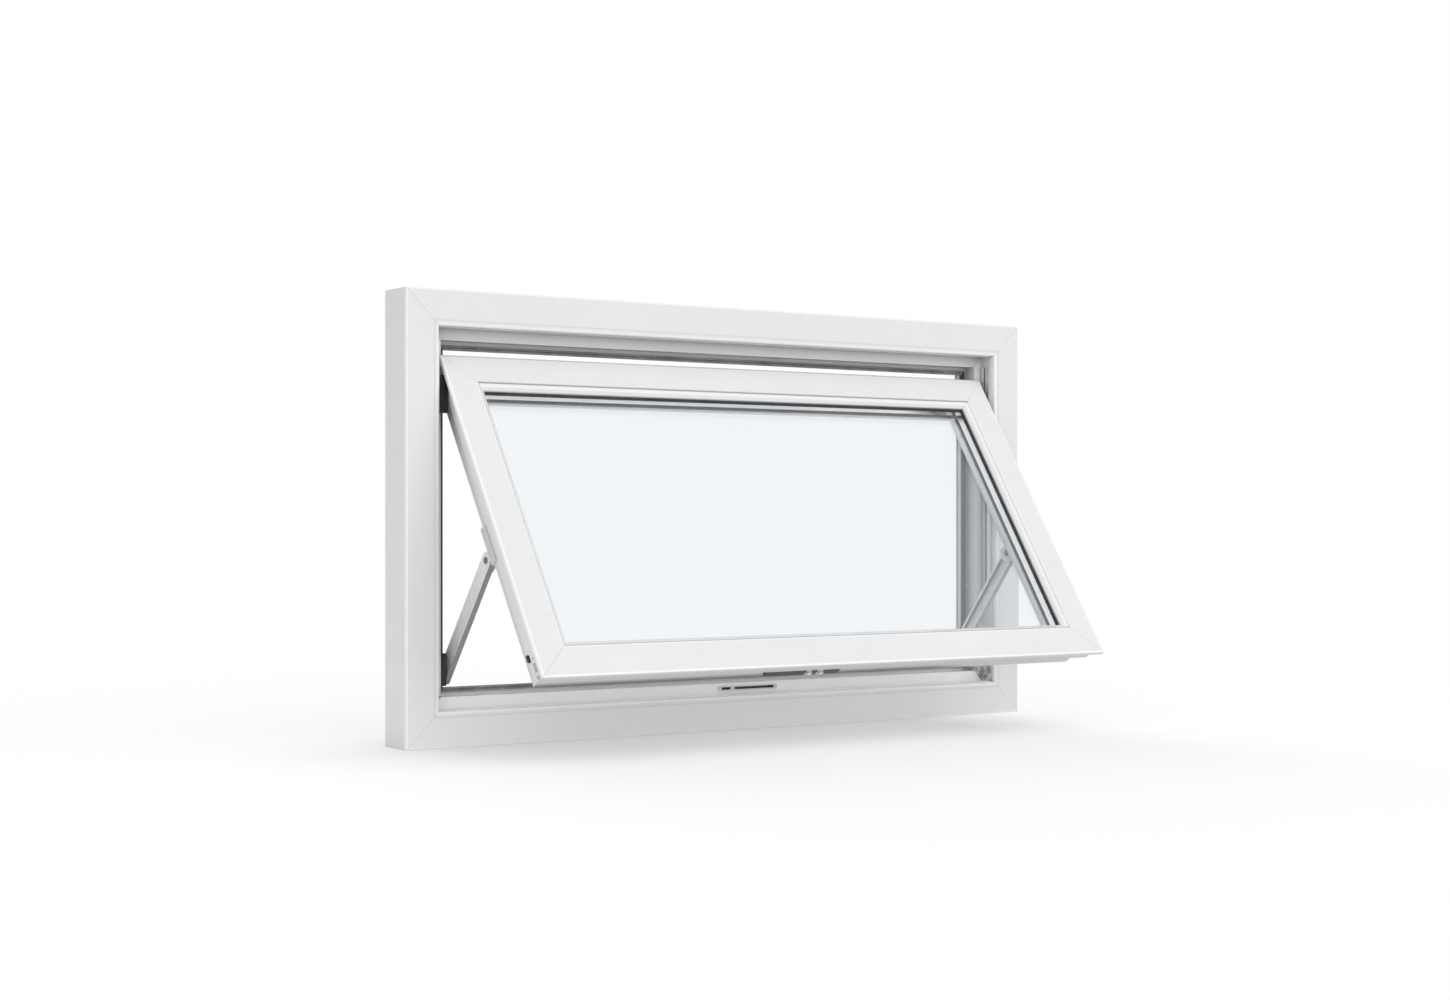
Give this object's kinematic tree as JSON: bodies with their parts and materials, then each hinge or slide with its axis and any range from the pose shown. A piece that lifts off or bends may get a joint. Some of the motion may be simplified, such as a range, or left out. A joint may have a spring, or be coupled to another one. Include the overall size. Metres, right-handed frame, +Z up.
{
  "type": "awning window",
  "caption": "Top hung awning window of white hollow vinyl, sash pushed open on sliding shoes and stay arms, sealed double glass in a mitred frame",
  "frame": {"origin": "centre of the flat underside of the frame's sill, half way through the frame's depth", "axes": "+X along the sill, to the right as seen from outside; +Y from outside to the room; +Z up"},
  "size_m": [1.067, 0.3221, 0.61],
  "materials": {
    "frame_vinyl": "satin",
    "sash_vinyl": "satin",
    "bead_vinyl": "satin",
    "black_gasket": "matte",
    "clear_glass": "gloss",
    "spacer_aluminium": "satin",
    "track_aluminium": "satin",
    "black_nylon": "matte",
    "stay_steel": "satin",
    "rivet_steel": "satin",
    "keeper_metal": "satin",
    "lock_plastic": "matte"
  },
  "bodies": {
    "root": {"frame_head": "frame_vinyl", "frame_sill": "frame_vinyl", "frame_left_jamb": "frame_vinyl", "frame_right_jamb": "frame_vinyl", "frame_gasket_head": "black_gasket", "frame_gasket_sill": "black_gasket", "frame_gasket_left": "black_gasket", "frame_gasket_right": "black_gasket", "sash_top_rail": "sash_vinyl", "sash_bottom_rail": "sash_vinyl", "sash_left_stile": "sash_vinyl", "sash_right_stile": "sash_vinyl", "glazing_bead_top": "bead_vinyl", "glazing_bead_bottom": "bead_vinyl", "glazing_bead_left": "bead_vinyl", "glazing_bead_right": "bead_vinyl", "glass_outer_pane": "clear_glass", "glass_inner_pane": "clear_glass", "glass_spacer_bar": "spacer_aluminium", "glazing_gasket_outer": "black_gasket", "glazing_gasket_inner": "black_gasket", "left_hinge_track": "track_aluminium", "left_slide_shoe": "black_nylon", "left_stay_arm": "stay_steel", "left_sash_bracket": "stay_steel", "left_jamb_bracket": "stay_steel", "left_upper_rivet": "rivet_steel", "left_foot_rivet": "rivet_steel", "right_hinge_track": "track_aluminium", "right_slide_shoe": "black_nylon", "right_stay_arm": "stay_steel", "right_sash_bracket": "stay_steel", "right_jamb_bracket": "stay_steel", "right_upper_rivet": "rivet_steel", "right_foot_rivet": "rivet_steel", "sill_lock_keeper": "keeper_metal", "sash_lock_bar": "lock_plastic", "sash_lock_left_stud": "keeper_metal", "sash_lock_right_stud": "keeper_metal", "left_stile_keeper": "keeper_metal", "right_stile_keeper": "keeper_metal", "left_stile_bolt": "black_nylon", "right_stile_bolt": "black_nylon", "left_foot_block": "black_nylon", "right_foot_block": "black_nylon"}
  },
  "joints": []
}
